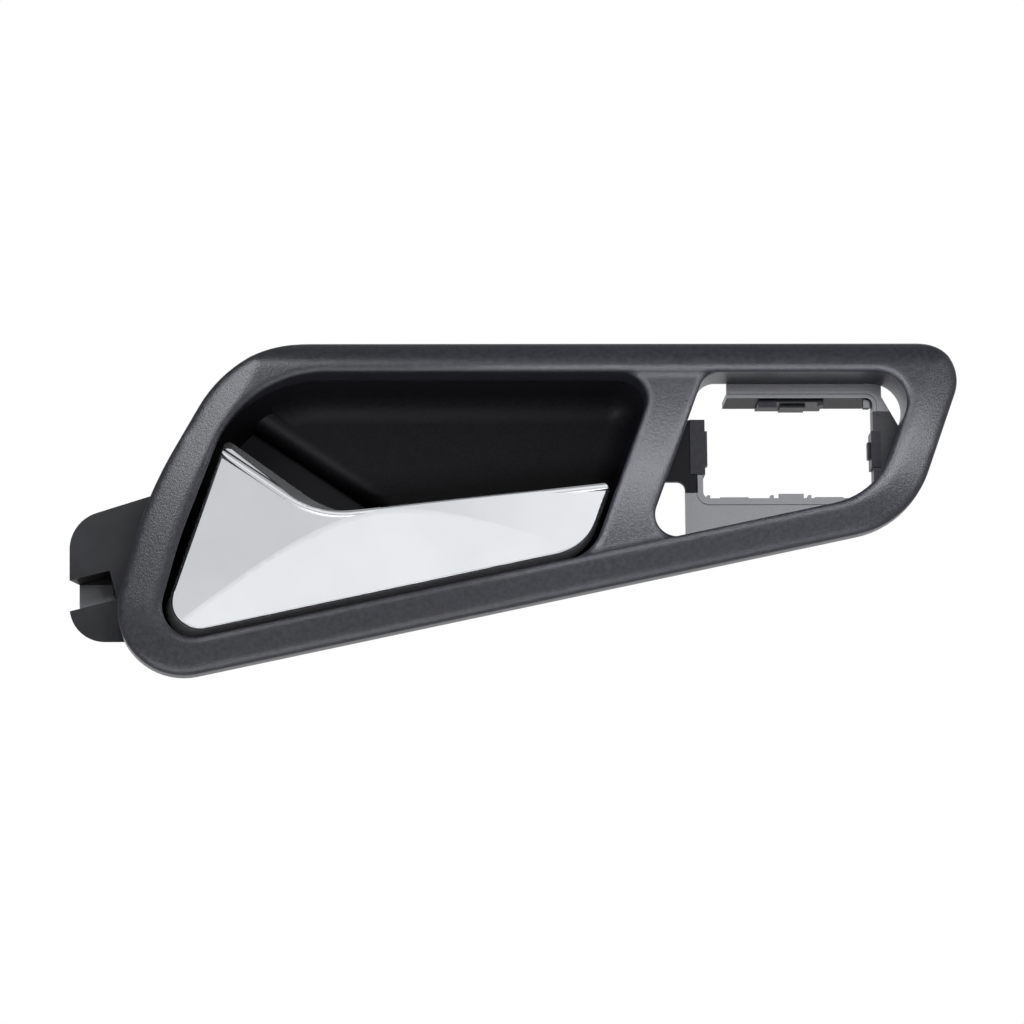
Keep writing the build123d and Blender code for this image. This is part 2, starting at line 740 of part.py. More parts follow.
# Pull lever: its outline at any depth, since the walls flare toward the back.
lever_bottom = shifted(pocket_edges[0], LEVER_GAP_BOTTOM)
lever_right = shifted(pocket_edges[1], LEVER_GAP_RIGHT)
lever_top = (0, LEVER_TOP_Z, 180 + LEVER_TOP_RISE)
lever_dip = (*at_x(lever_top, LEVER_DIP_X), 180 - LEVER_DIP_FALL)
lever_far_y = CREST_Y - 2 * BEAD_R
shoulder_slope = tan(radians(SHOULDER_TILT))


def lever_outline(y, inset=0.0):
    """The lever seen from the front, at a depth."""
    side = FLARE_SIDE * (LEVER_REAR_Y - y) + inset
    edges = [
        shifted(lever_bottom, side),
        shifted(lever_right, side),
        shifted(lever_top, FLARE_TOP * (FLARE_FROM_Y - y) + inset),
        shifted(lever_dip, FLARE_DIP * (FLARE_FROM_Y - y) + inset),
        shifted(lever_left, side),
    ]
    return outline(edges, [R_LEVER_END, R_LEVER_TIP, R_LEVER_DIP, R_LEVER_TOP_LEFT, R_LEVER_LOW_LEFT])


def lever_body(inset, y_back):
    """The lever's flared walls, inset, as a solid with no front surface yet."""
    ends = [Pos(0, y, 0) * (Plane.XZ * lever_outline(y, inset)) for y in (lever_far_y, y_back)]
    return loft(ends, ruled=True)


def crest_y(x, z):
    """The depth of the lever's long crest at a place."""
    rise = radians(CREST_RISE)
    off = (z - CREST_Z) * cos(rise) - (x - CREST_X) * sin(rise)
    return CREST_Y + CREST_R - sqrt(CREST_R**2 - off**2)


def shoulder_y(x, z):
    """The depth of the lever's shoulder, a wide shallow cone, at a place."""
    return SHOULDER_Y + shoulder_slope * (hypot(x - SHOULDER_X, z - SHOULDER_Z) - SHOULDER_R)


def on_ridge(point):
    """Whether a point lies where the crest and the shoulder meet."""
    levels = crest_y(point.X, point.Z), shoulder_y(point.X, point.Z)
    return max(abs(point.Y - y) for y in levels) < ON_FACE


def lever_front(depth):
    """All that lies behind the lever's front surface moved back by depth."""
    rise = radians(CREST_RISE)
    centre = (CREST_X, CREST_Y + CREST_R + depth, CREST_Z)
    crest = Plane(centre, z_dir=(cos(rise), 0, sin(rise))).location * Cylinder(CREST_R, 2 * FAR)
    height = FAR * shoulder_slope
    middle = (SHOULDER_X, shoulder_y(SHOULDER_X, SHOULDER_Z) + depth + height / 2, SHOULDER_Z)
    return crest & (Pos(*middle) * Rot(90, 0, 0) * Cone(FAR, 0, height))


bead_edge = shifted(lever_top, BEAD_IN)
bead_dip = shifted(lever_dip, BEAD_IN)
bead_corners = [
    meet(bead_edge, lever_right),
    meet(bead_edge, bead_dip),
    meet(bead_dip, lever_left),
]
bead_points = [(x, max(crest_y(x, z), shoulder_y(x, z)) + BEAD_SUNK, z) for x, z in bead_corners]
walls = lever_body(0, LEVER_REAR_Y)
cover = walls & lever_front(0)
cover = fillet([e for e in cover.edges() if on_ridge(e @ 0.5)], SHOULDER_SOFT * CREST_R)
sides = [f for f in walls.faces() if abs(f.normal_at(f.center()).Y) < 0.9]
rim = []
for e in cover.edges():
    m = e @ 0.5
    if m.Y < LEVER_REAR_Y - 1 and abs((e % 0.5).Y) < 0.5 and min(f.distance_to(m) for f in sides) < ON_FACE:
        rim.append(e)
cover = fillet(rim, LEVER_EDGE_R)
bead_path = FilletPolyline(*bead_points, radius=R_LEVER_DIP)
bead = sweep(Plane(bead_path @ 0, z_dir=bead_path % 0) * Circle(BEAD_R), path=bead_path)
cover += bead & walls
cover -= lever_body(LEVER_SKIN, LEVER_REAR_Y + OVER) & lever_front(LEVER_SKIN)
plate_y = LEVER_BACK_Y - CORE_WALL
cover_screws = []
for x in (COVER_SCREW_LEFT_X, COVER_SCREW_RIGHT_X):
    middle = (at_x(lever_top, x)[1] + at_x(lever_bottom, x)[1]) / 2
    cover_screws.append((x, middle))
for place in cover_screws:
    cover += rod(place, COVER_BOSS_R, lever_far_y, plate_y - COVER_BOSS_GAP) & lever_front(LEVER_SKIN / 2)
    cover -= rod(place, COVER_SCREW_R + SCREW_RUN, LEVER_BACK_Y - COVER_SCREW_L - ROOT, LEVER_BACK_Y)
save("lever_cover", cover, CHROME)

# Lever core: fills the cover from behind, and carries the knuckles and the cable arm.
plug_in = LEVER_SKIN + CORE_FIT
core = lever_body(plug_in, LEVER_REAR_Y + ROOT) & lever_front(plug_in)
cap = prism(lever_outline(LEVER_REAR_Y), LEVER_REAR_Y, LEVER_BACK_Y)
core += fillet(cap.faces().sort_by(Axis.Y)[-1].edges(), LEVER_BACK_R)
relief = prism(lever_outline(0, plug_in + CORE_WALL), lever_far_y, plate_y)
for i in range(CORE_RIBS):
    x, z = at_x(lever_top, LEVER_DIP_X + CORE_RIB_FIRST + i * CORE_RIB_GAP)
    relief -= prism(Pos(x, z) * Rot(0, 0, CREST_RISE) * Rectangle(CORE_RIB_T, FAR), lever_far_y, plate_y)
relief -= hinge * block(-FAR, CORE_LEFT + CORE_WALL, -FAR, FAR, -FAR, FAR)
core -= relief
core -= hinge * block(-FAR, CORE_LEFT, -FAR, FAR, -FAR, FAR)
head_drop = COVER_HEAD_R - COVER_SCREW_R


def flat_head(place, play, length):
    """A countersunk screw driven forward, its head flush with the back of the lever."""
    shank = rod(place, COVER_SCREW_R + play, LEVER_BACK_Y - length, LEVER_BACK_Y)
    cone = Cone(COVER_SCREW_R + play, COVER_HEAD_R + play, head_drop)
    x, z = place
    return shank + Pos(x, LEVER_BACK_Y - head_drop / 2, z) * Rot(-90, 0, 0) * cone


for place in cover_screws:
    core -= flat_head(place, SCREW_RUN, COVER_SCREW_L)
web_low = KNUCKLE_WEB_IN - KNUCKLE_R
web_high = LEVER_BACK_Y - HINGE_Y
knuckle_face = Circle(KNUCKLE_R)
for z0, z1 in ((bay_half, knuckle_end), (-knuckle_end, -bay_half)):
    core += hinge * (slab(knuckle_face, z0, z1) + block(0, CORE_LEFT + ROOT, web_low, web_high, z0, z1))
arm = slab(Pos(0, ARM_L) * Circle(ARM_TIP_R), arm_low, arm_top)
arm += block(-ARM_HALF, ARM_HALF, 0, ARM_L, arm_low, arm_top)
arm -= slab(Pos(0, ARM_L) * Circle(CABLE_HOLE_R), arm_low - OVER, arm_top + OVER)
slot_half = CABLE_SLOT / 2
arm -= block(-FAR, 0, ARM_L - slot_half, ARM_L + slot_half, arm_low - OVER, arm_top + OVER)
lug_x = leg_x - LEG_PLAY
lug_top = LEG_POST_H / 2 - spring_z
arm = rest_turn * arm + block(-ARM_HALF, lug_x, LUG_Y, LUG_Y + LUG_H, arm_top, lug_top)
core += hinge * arm
core -= hinge * slab(Circle(PIN_R + PIN_RUN), -ear_out, ear_out)
save("lever_core", core, BLACK)
cover_set = [flat_head(place, 0, COVER_SCREW_L).solids()[0] for place in cover_screws]
save("lever_screws", Compound(children=cover_set), STEEL)

# Switch frame: a C-shaped moulding behind the window, open at three corners.
# The hole for the switch is as wide as the window leaves it between the two side clips.
clip_top_z = CLIP_LEFT_Z + CLIP_LEFT_H / 2
clip_low_z = CLIP_LEFT_Z - CLIP_LEFT_H / 2
hole_left = at_z(window_left, clip_top_z)[0] + CLIP_LEFT_CLEAR + CLIP_LEFT_LEAF
hole_right = at_z(window_right, CLIP_RIGHT_Z - CLIP_RIGHT_H / 2)[0] - CLIP_RIGHT_CLEAR - CLIP_RIGHT_LEAF
hole_low = SWITCH_Z - SWITCH_H / 2
hole_top = SWITCH_Z + SWITCH_H / 2
switch_x = (hole_left + hole_right) / 2
hole = Pos(switch_x, SWITCH_Z) * RectangleRounded(hole_right - hole_left, SWITCH_H, SWITCH_R)
frame_y = FRAME_SEAT_Y + FRAME_T
rail_left = hole_left + RAIL_LEFT_IN
rail_right = hole_right + RAIL_RIGHT_OUT


def corner_box(x, z, to_x, to_z):
    """A large rectangle with one rounded corner at (x, z)."""
    return Pos(x + to_x * FAR / 2, z + to_z * FAR / 2) * RectangleRounded(FAR, FAR, NOTCH_R)


plate = offset(window, FRAME_LAP)
for place in frame_screws:
    plate += Pos(*place) * Circle(LOBE_R)
gusset = Polyline(
    (rail_right, GUSSET_Z),
    (rail_right + GUSSET_W, GUSSET_Z),
    (rail_right, GUSSET_Z + GUSSET_H),
    close=True,
)
notches = corner_box(rail_left, clip_top_z, -1, 1)
notches += corner_box(hole_left - FOOT_LEFT_OUT, clip_low_z - FOOT_TOP, -1, -1)
notches += corner_box(rail_right, GUSSET_Z, 1, 1) - make_face(gusset)
plate -= hole + notches
for place in panel_screws:
    plate -= Pos(*place) * Circle(SCREW_ACCESS_R)
frame = prism(plate, FRAME_SEAT_Y, frame_y)
tunnel_y = frame_y + TUNNEL_TOP
side_y = frame_y + TUNNEL_SIDE
wall = FRAME_WALL
frame += block(rail_left, hole_right + wall, FRAME_SEAT_Y, tunnel_y, hole_top, hole_top + wall)
frame += block(hole_left - wall, hole_left, FRAME_SEAT_Y, side_y, hole_low, clip_top_z)
frame += block(hole_right, hole_right + wall, FRAME_SEAT_Y, side_y, hole_low, hole_top)
frame += block(hole_left - wall, hole_right + wall, FRAME_SEAT_Y, side_y, hole_low - wall, hole_low)
line_out = BEAD_LINE_IN + BEAD_LINE_W
bead_line = (offset(hole, line_out) - offset(hole, BEAD_LINE_IN)) & offset(window, -BEAD_LINE_IN)
bead_line -= notches
clip_zone = max(CLIP_LEFT_H, CLIP_RIGHT_H) + CLIP_MARGIN
bead_line -= Pos(switch_x, CLIP_LEFT_Z) * Rectangle(FAR, clip_zone)
frame += prism(bead_line, FRAME_SEAT_Y - BEAD_LINE_H, FRAME_SEAT_Y + ROOT)
hook_first = hole_left + HOOK_FIRST_IN
hook_last = hole_right - HOOK_LAST_IN
for x0, x1, y0, y1 in (
    (hook_first, hook_first + HOOK_W, side_y - HOOK_T, side_y),
    (switch_x - MID_HOOK_LEFT, switch_x + MID_HOOK_RIGHT, FRAME_SEAT_Y, FRAME_SEAT_Y + HOOK_T),
    (hook_last - HOOK_W, hook_last, side_y - HOOK_T, side_y),
):
    frame += block(x0, x1, y0, y1, hole_low - ROOT, hole_low + HOOK_H)
for x in (hole_left + GUIDE_IN, switch_x - GUIDE_LEFT, switch_x + GUIDE_RIGHT):
    x0 = x - GUIDE_T / 2
    frame += block(x0, x0 + GUIDE_T, FRAME_SEAT_Y, side_y, hole_low - ROOT, hole_low + GUIDE_H)
x0 = hole_right - BARB_IN - BARB_W / 2
frame += block(x0, x0 + BARB_W, frame_y, frame_y + BARB_L, hole_top - BARB_H, hole_top + ROOT)
for place in frame_screws:
    frame -= rod(place, SCREW_HOLE_R, FRAME_SEAT_Y - OVER, frame_y + OVER)
save("switch_frame", frame, BLACK)


def side_clip(height, z_mid, leaf):
    """A steel clip sprung over the left side wall of the frame."""
    out = hole_left - wall - CLIP_FIT
    inner = hole_left + CLIP_FIT
    front_y0 = FRAME_SEAT_Y - CLIP_FIT
    back_y = side_y + CLIP_FIT
    z0 = z_mid - height / 2
    z1 = z_mid + height / 2
    clip = block(hole_left - leaf, inner + CLIP_T, front_y0 - CLIP_T, front_y0, z0, z1)
    clip += block(inner, inner + CLIP_T, front_y0 - CLIP_T, back_y + CLIP_T, z0, z1)
    clip += block(out, inner + CLIP_T, back_y, back_y + CLIP_T, z0, z1)
    tip = inner + CLIP_T + CLIP_TONGUE
    y0 = (front_y0 + back_y - CLIP_TONGUE_W) / 2
    clip += block(inner, tip, y0, y0 + CLIP_TONGUE_W, z0 + CLIP_TONGUE_IN, z1 - CLIP_TONGUE_IN)
    return clip


save("switch_clip_left", side_clip(CLIP_LEFT_H, CLIP_LEFT_Z, CLIP_LEFT_LEAF), STEEL)
mirror_plane = Plane((switch_x, 0, 0), x_dir=(0, 1, 0), z_dir=(1, 0, 0))
right_clip = mirror(side_clip(CLIP_RIGHT_H, CLIP_RIGHT_Z, CLIP_RIGHT_LEAF), about=mirror_plane)
save("switch_clip_right", right_clip, STEEL)
under = hole_top - CLIP_FIT
over = hole_top + wall + CLIP_FIT
tail = tunnel_y + CLIP_FIT
x0 = switch_x + CLIP_TOP_SIDE - CLIP_TOP_W / 2
x1 = x0 + CLIP_TOP_W
lead = frame_y + CLIP_TOP_IN
clip = block(x0, x1, lead, tail + CLIP_T, under - CLIP_T, under)
clip += block(x0, x1, tail, tail + CLIP_T, under - CLIP_T, over + CLIP_T)
clip += block(x0, x1, tunnel_y - CLIP_TOP_LAP, tail + CLIP_T, over, over + CLIP_T)
clip += block(x0, x0 + LATCH_W, lead, lead + LATCH_L, under - LATCH_H, under)
press = under - CLIP_T - CLIP_TONGUE
clip += block(x0 + PRESS_LEFT, x1 - PRESS_RIGHT, frame_y + PRESS_FRONT, tunnel_y - PRESS_BACK, press, under)
clip += block(x1 - STOP_W, x1, lead, lead + STOP_L, under - STOP_H, under)
save("switch_clip_top", clip, STEEL)


def screw(place, seat_y, length):
    """A pan-head screw driven forward, its head resting at seat_y."""
    body = rod(place, SCREW_R, seat_y - length, seat_y + ROOT)
    body = chamfer(body.edges().sort_by(Axis.Y)[:1], SCREW_TIP)
    head = rod(place, SCREW_HEAD_R, seat_y, seat_y + SCREW_HEAD_H)
    head = chamfer(head.edges().sort_by(Axis.Y)[-1:], SCREW_HEAD_H / 2)
    return body + head


def screws(places, seat_y, grip):
    """All the screws of one set."""
    return Compound(children=[screw(p, seat_y, grip + SCREW_BITE).solids()[0] for p in places])


save("bowl_screws", screws(bowl_screws, lap_y, SHEET), STEEL)
save("housing_screws", screws(housing_screws, lap_y + TAB_T, SHEET + TAB_T), STEEL)
save("frame_screws", screws(frame_screws, frame_y, FRAME_T), STEEL)
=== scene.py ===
"""Looks of the car interior door handle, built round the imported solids."""

from math import cos, radians, sin

import bmesh
import bpy
from mathutils import Matrix, Vector


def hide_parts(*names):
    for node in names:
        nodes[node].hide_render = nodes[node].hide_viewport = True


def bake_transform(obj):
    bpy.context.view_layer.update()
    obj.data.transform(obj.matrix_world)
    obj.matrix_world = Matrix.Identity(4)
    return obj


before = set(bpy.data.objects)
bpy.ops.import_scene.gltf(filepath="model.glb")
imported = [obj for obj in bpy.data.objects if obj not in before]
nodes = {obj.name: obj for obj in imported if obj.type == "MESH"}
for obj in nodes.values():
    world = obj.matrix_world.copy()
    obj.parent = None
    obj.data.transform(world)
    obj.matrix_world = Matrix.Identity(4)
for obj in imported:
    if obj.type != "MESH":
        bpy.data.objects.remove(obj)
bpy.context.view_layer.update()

# Camera, in degrees and metres: from a little left of the front and below it.
VIEW_AZIMUTH = -3.0
VIEW_ELEVATION = -10.0
VIEW_ROLL = -0.65
VIEW_DISTANCE = 2.0
VIEW_CENTRE = (-0.0143, -0.0080, -0.0214)
VIEW_WIDTH = 0.3030
VIEW_END = 20.0
SENSOR = 36.0

# Edges of the spring's wire flatter than this are shaded as one surface; closer points than this are one.
WIRE_ANGLE = 50.0
SAME_POINT = 1e-6

# Studio: the floor, and the light that comes from all round.
FLOOR_Z = -0.50
FLOOR_SIZE = 8.0
FLOOR_COLOUR = 0.82
FLOOR_ROUGH = 0.7
WORLD_COLOUR = (0.975, 0.985, 1.0)
WORLD_FILL = 0.75
# What glossy faces mirror: how bright it is by height, with the left side counted as higher.
WORLD_LEFT = 0.6
WORLD_REACH = 1.2
WORLD_STEPS = ((-1.2, 0.95), (0.30, 0.95), (0.47, 0.72), (0.80, 0.22), (1.0, 0.45), (1.2, 0.55))

# Lamps: the point that each faces, the degrees to the right of the front and above it, how far off it
# stands, its size in metres and its power in watts.
LAMP_COLOUR = (0.93, 0.94, 1.0)
FRONT_BOX = dict(
    aim=(0.085, -0.006, -0.010),
    azimuth=9.0, elevation=8.0, distance=0.62,
    width=0.38, height=0.16, power=2.9,
)
CORNER_BOX = dict(
    aim=(-0.085, -0.006, 0.012),
    azimuth=-13.0, elevation=25.0, distance=0.5,
    width=0.16, height=0.16, power=1.7,
)
LOW_BOX = dict(
    aim=VIEW_CENTRE,
    azimuth=-8.0, elevation=-38.0, distance=0.7,
    width=0.8, height=0.16, power=4.6,
)
BAND_BOX = dict(
    aim=(0.057, -0.006, -0.0070),
    azimuth=4.0, elevation=9.0, distance=0.08,
    width=0.17, height=0.016, power=0.16,
)
EDGE_BOX = dict(
    aim=(-0.060, 0.020, -0.012),
    azimuth=-21.0, elevation=-22.0, distance=0.5,
    width=0.10, height=0.10, power=1.4,
)

# Blacks, greys and metals, as linear colours.
BEZEL_DARK = (0.0080, 0.0082, 0.0105)
BEZEL_LIGHT = (0.0140, 0.0143, 0.0180)
BOWL_DARK = (0.0045, 0.0045, 0.0055)
BOWL_LIGHT = (0.0075, 0.0075, 0.0090)
HOUSING_DARK = (0.0080, 0.0081, 0.0090)
HOUSING_LIGHT = (0.0125, 0.0127, 0.0140)
MOULDED_DARK = (0.0120, 0.0122, 0.0135)
MOULDED_LIGHT = (0.0180, 0.0182, 0.0200)
FRAME_DARK = (0.016, 0.0162, 0.018)
FRAME_LIGHT = (0.026, 0.0262, 0.028)
RUBBER_DARK = (0.010, 0.010, 0.0105)
RUBBER_LIGHT = (0.018, 0.018, 0.019)
CHROME_DARK = (0.84, 0.85, 0.87)
CHROME_LIGHT = (0.88, 0.89, 0.90)
ZINC_DARK = (0.48, 0.48, 0.49)
ZINC_LIGHT = (0.64, 0.64, 0.65)
SPRING_DARK = (0.26, 0.26, 0.28)
SPRING_LIGHT = (0.38, 0.38, 0.40)
CLIP_DARK = (0.008, 0.008, 0.009)
CLIP_LIGHT = (0.012, 0.012, 0.013)

# How round the bezel's creases look.
CREASE_R = 0.0032
CREASE_SAMPLES = 8
# Bumps: the strength of each, and the size and depth of the finer ones beside the coarser.
BUMP_DETAIL = 2.0
GRAIN_TONE = 0.5
GRAIN_STRENGTH = 0.55
FINE_STRENGTH = 0.35
FINE_CELLS = 2.6
FINE_DEPTH = 0.5
SMOOTH_TONE = 90.0
WAVE_CELLS = 160.0
WAVE_STRENGTH = 0.25
SKIN_CELLS = 2600.0
SKIN_STRENGTH = 0.12
SKIN_DEPTH = 0.3
METAL_CELLS = 1.5
METAL_STRENGTH = 0.2

# Patches of other colour or shine: painted shade on the floor of the housing's bay, on the plate left of
# the switch and on the frame's faces that look down; painted light on the floor of the cable's groove;
# and a darker, duller patch on the plate right of the switch.
# A darker, duller colour: painted shade on the bay's floor, the left plate and the faces that look down.
DARK_PATCH_COLOUR = (0.004, 0.004, 0.005)
SHADE_PATCH_SPECULAR = 0.03
BAY_X = (-0.118, 0.0)
BAY_Y = (0.0296, 0.0340)
GROOVE_X = (-0.150, -0.118)
GROOVE_Y = (0.0205, 0.0228)
GROOVE_Z = (-0.0485, -0.0380)
# Painted light: the paler, shinier colour of the groove's floor, where it is lit.
GROOVE_LIT_COLOUR = (0.055, 0.056, 0.060)
GROOVE_LIT_SPECULAR = 0.5
# Painted shade: the plate left of the switch, in the divider's shade.
PLATE_LEFT_X = (0.020, 0.0425)
PLATE_LEFT_Z = (-0.0123, 0.030)
# A darker, a little duller patch on the plate right of the switch.
PLATE_RIGHT_X = (0.0945, 0.115)
PLATE_RIGHT_Z = (-0.020, 0.0125)
PLATE_RIGHT_SPECULAR = 0.12
# Painted shade on the frame's faces that look down: from and to these parts of the normal along Z.
SHADE_LOOKS_DOWN = (-0.5, -0.8)
# The plating is less metallic on walls: from and to these parts of the normal along Y.
WALL_NORMAL = (-0.6, -0.2)
WALL_METALLIC = 0.35


def link(material, source, target):
    """Join two sockets of a material."""
    material.node_tree.links.new(source, target)


def node(material, kind, **values):
    """A new shader node with its inputs set by name."""
    made = material.node_tree.nodes.new(kind)
    for key, value in values.items():
        made.inputs[key].default_value = value
    return made


def noise(material, scale, detail=3.0, rough=0.55):
    """A noise over the object's own coordinates, in cells per metre."""
    place = node(material, "ShaderNodeTexCoord")
    made = node(material, "ShaderNodeTexNoise", Scale=scale, Detail=detail, Roughness=rough)
    link(material, place.outputs["Object"], made.inputs["Vector"])
    return made.outputs["Fac"]


def ramp(material, factor, low, high, start=0.35, stop=0.65):
    """Two colours spread over a factor."""
    made = node(material, "ShaderNodeValToRGB")
    marks = made.color_ramp.elements
    for mark, at, colour in zip(marks, (start, stop), (low, high)):
        mark.position = at
        mark.color = (*colour, 1.0)
    link(material, factor, made.inputs["Fac"])
    return made.outputs["Color"]


def spread(material, factor, low, high):
    """A number that runs from low to high over a factor."""
    made = node(material, "ShaderNodeMapRange", **{"To Min": low, "To Max": high})
    link(material, factor, made.inputs["Value"])
    return made.outputs["Result"]


def bump(material, height, strength, distance, below=None):
    """A bump from a height, over another normal if one is given."""
    made = node(material, "ShaderNodeBump", Strength=strength, Distance=distance)
    link(material, height, made.inputs["Height"])
    if below is not None:
        link(material, below, made.inputs["Normal"])
    return made.outputs["Normal"]


def part_of(material, kind, axis):
    """The part along an axis of the object's own coordinates or of its normal."""
    place = node(material, "ShaderNodeTexCoord")
    split = node(material, "ShaderNodeSeparateXYZ")
    link(material, place.outputs[kind], split.inputs["Vector"])
    return split.outputs[axis]


def within(material, axis, low, high):
    """One where the object's own coordinate on an axis lies between two values, zero elsewhere."""
    made = node(material, "ShaderNodeMath")
    made.operation = "COMPARE"
    made.inputs[1].default_value = (low + high) / 2
    made.inputs[2].default_value = (high - low) / 2
    link(material, part_of(material, "Object", axis), made.inputs[0])
    return made.outputs["Value"]


def both(material, first, second):
    """One where two masks are one."""
    made = node(material, "ShaderNodeMath")
    made.operation = "MULTIPLY"
    link(material, first, made.inputs[0])
    link(material, second, made.inputs[1])
    return made.outputs["Value"]


def facing(material, axis, none, full):
    """Zero to one as a face turns along an axis: the part of its normal at which each is reached."""
    made = node(material, "ShaderNodeMapRange", **{"From Min": none, "From Max": full})
    link(material, part_of(material, "Normal", axis), made.inputs["Value"])
    return made.outputs["Result"]


def surface(name, low, high, cells, rough, metal=0.0, specular=0.5):
    """A material whose colour and roughness vary a little over its surface."""
    made = bpy.data.materials.new(name)
    made.use_nodes = True
    shader = made.node_tree.nodes["Principled BSDF"]
    shader.inputs["Metallic"].default_value = metal
    shader.inputs["Specular IOR Level"].default_value = specular
    tone = noise(made, cells)
    link(made, ramp(made, tone, low, high), shader.inputs["Base Color"])
    link(made, spread(made, tone, *rough), shader.inputs["Roughness"])
    return made, shader


def grained(name, low, high, rough, specular, grain, depth, crease=None):
    """Moulded plastic with a fine leather-like grain; its creases look as round as the radius says."""
    made, shader = surface(name, low, high, grain * GRAIN_TONE, rough, specular=specular)
    below = None
    if crease is not None:
        rounded = node(made, "ShaderNodeBevel", Radius=crease)
        rounded.samples = CREASE_SAMPLES
        below = rounded.outputs["Normal"]
    coarse = bump(made, noise(made, grain, BUMP_DETAIL), GRAIN_STRENGTH, depth, below)
    fine_noise = noise(made, grain * FINE_CELLS, BUMP_DETAIL)
    fine = bump(made, fine_noise, FINE_STRENGTH, depth * FINE_DEPTH, coarse)
    link(made, fine, shader.inputs["Normal"])
    return made


def smooth(name, low, high, rough, specular, ripple):
    """Smooth moulded plastic or rubber, with a faint ripple."""
    made, shader = surface(name, low, high, SMOOTH_TONE, rough, specular=specular)
    wave = bump(made, noise(made, WAVE_CELLS, BUMP_DETAIL), WAVE_STRENGTH, ripple)
    skin = bump(made, noise(made, SKIN_CELLS, BUMP_DETAIL), SKIN_STRENGTH, ripple * SKIN_DEPTH, wave)
    link(made, skin, shader.inputs["Normal"])
    return made


def metal(name, low, high, rough, cells, ripple):
    """Bare or plated metal."""
    made, shader = surface(name, low, high, cells, rough, metal=1.0)
    marks = noise(made, cells * METAL_CELLS, BUMP_DETAIL)
    link(made, bump(made, marks, METAL_STRENGTH, ripple), shader.inputs["Normal"])
    return made


def patch(material, mask, colour, specular):
    """Another colour and shine on a material where a mask is one."""
    shader = material.node_tree.nodes["Principled BSDF"]
    for socket, value in (("Base Color", (*colour, 1.0)), ("Specular IOR Level", specular)):
        target = shader.inputs[socket]
        blend = node(material, "ShaderNodeMix")
        blend.data_type = "RGBA" if socket == "Base Color" else "FLOAT"
        first, second = [s for s in blend.inputs if s.name in "AB" and s.enabled]
        if target.links:
            link(material, target.links[0].from_socket, first)
        else:
            first.default_value = target.default_value
        second.default_value = value
        link(material, mask, blend.inputs["Factor"])
        link(material, [s for s in blend.outputs if s.enabled][0], target)


def housing_black():
    """The housing's plastic, with painted shade (darker, less shiny) on the floor of the bay and painted
    light (paler, shinier) on the floor of the cable's groove.
    """
    made = smooth(
        "housing_black", HOUSING_DARK, HOUSING_LIGHT, rough=(0.34, 0.44), specular=0.12, ripple=0.00004
    )
    # Painted shade: the floor of the bay darker and duller, where it lies in shade.
    bay = both(made, within(made, "X", *BAY_X), within(made, "Y", *BAY_Y))
    patch(made, bay, DARK_PATCH_COLOUR, SHADE_PATCH_SPECULAR)
    # Painted light: the floor of the cable's groove paler and shinier, where it is lit.
    groove = both(made, within(made, "X", *GROOVE_X), within(made, "Y", *GROOVE_Y))
    patch(made, both(made, groove, within(made, "Z", *GROOVE_Z)), GROOVE_LIT_COLOUR, GROOVE_LIT_SPECULAR)
    return made


def frame_plastic():
    """The switch frame's plastic, with painted shade (darker, duller) on the left plate beside the switch and
    on the faces that look down, and a darker, duller patch on the right plate.
    """
    made = grained(
        "frame_plastic", FRAME_DARK, FRAME_LIGHT,
        rough=(0.28, 0.36), specular=0.45, grain=2600.0, depth=0.00003,
    )
    # Painted shade: the plate left of the switch darker and duller, where it lies in shade.
    left = both(made, within(made, "X", *PLATE_LEFT_X), within(made, "Z", *PLATE_LEFT_Z))
    patch(made, left, DARK_PATCH_COLOUR, SHADE_PATCH_SPECULAR)
    # A darker, a little duller patch on the plate right of the switch.
    right = both(made, within(made, "X", *PLATE_RIGHT_X), within(made, "Z", *PLATE_RIGHT_Z))
    patch(made, right, DARK_PATCH_COLOUR, PLATE_RIGHT_SPECULAR)
    # Painted shade: the frame's faces that look down darker and duller.
    patch(made, facing(made, "Z", *SHADE_LOOKS_DOWN), DARK_PATCH_COLOUR, SHADE_PATCH_SPECULAR)
    return made


def bright_chrome():
    """Mirror plating, a little cloudy on the walls that face sideways."""
    made = metal(
        "bright_chrome", CHROME_DARK, CHROME_LIGHT, rough=(0.045, 0.075), cells=40.0, ripple=0.000004
    )
    shader = made.node_tree.nodes["Principled BSDF"]
    cloudy = spread(made, facing(made, "Y", *WALL_NORMAL), 1.0, WALL_METALLIC)
    link(made, cloudy, shader.inputs["Metallic"])
    return made


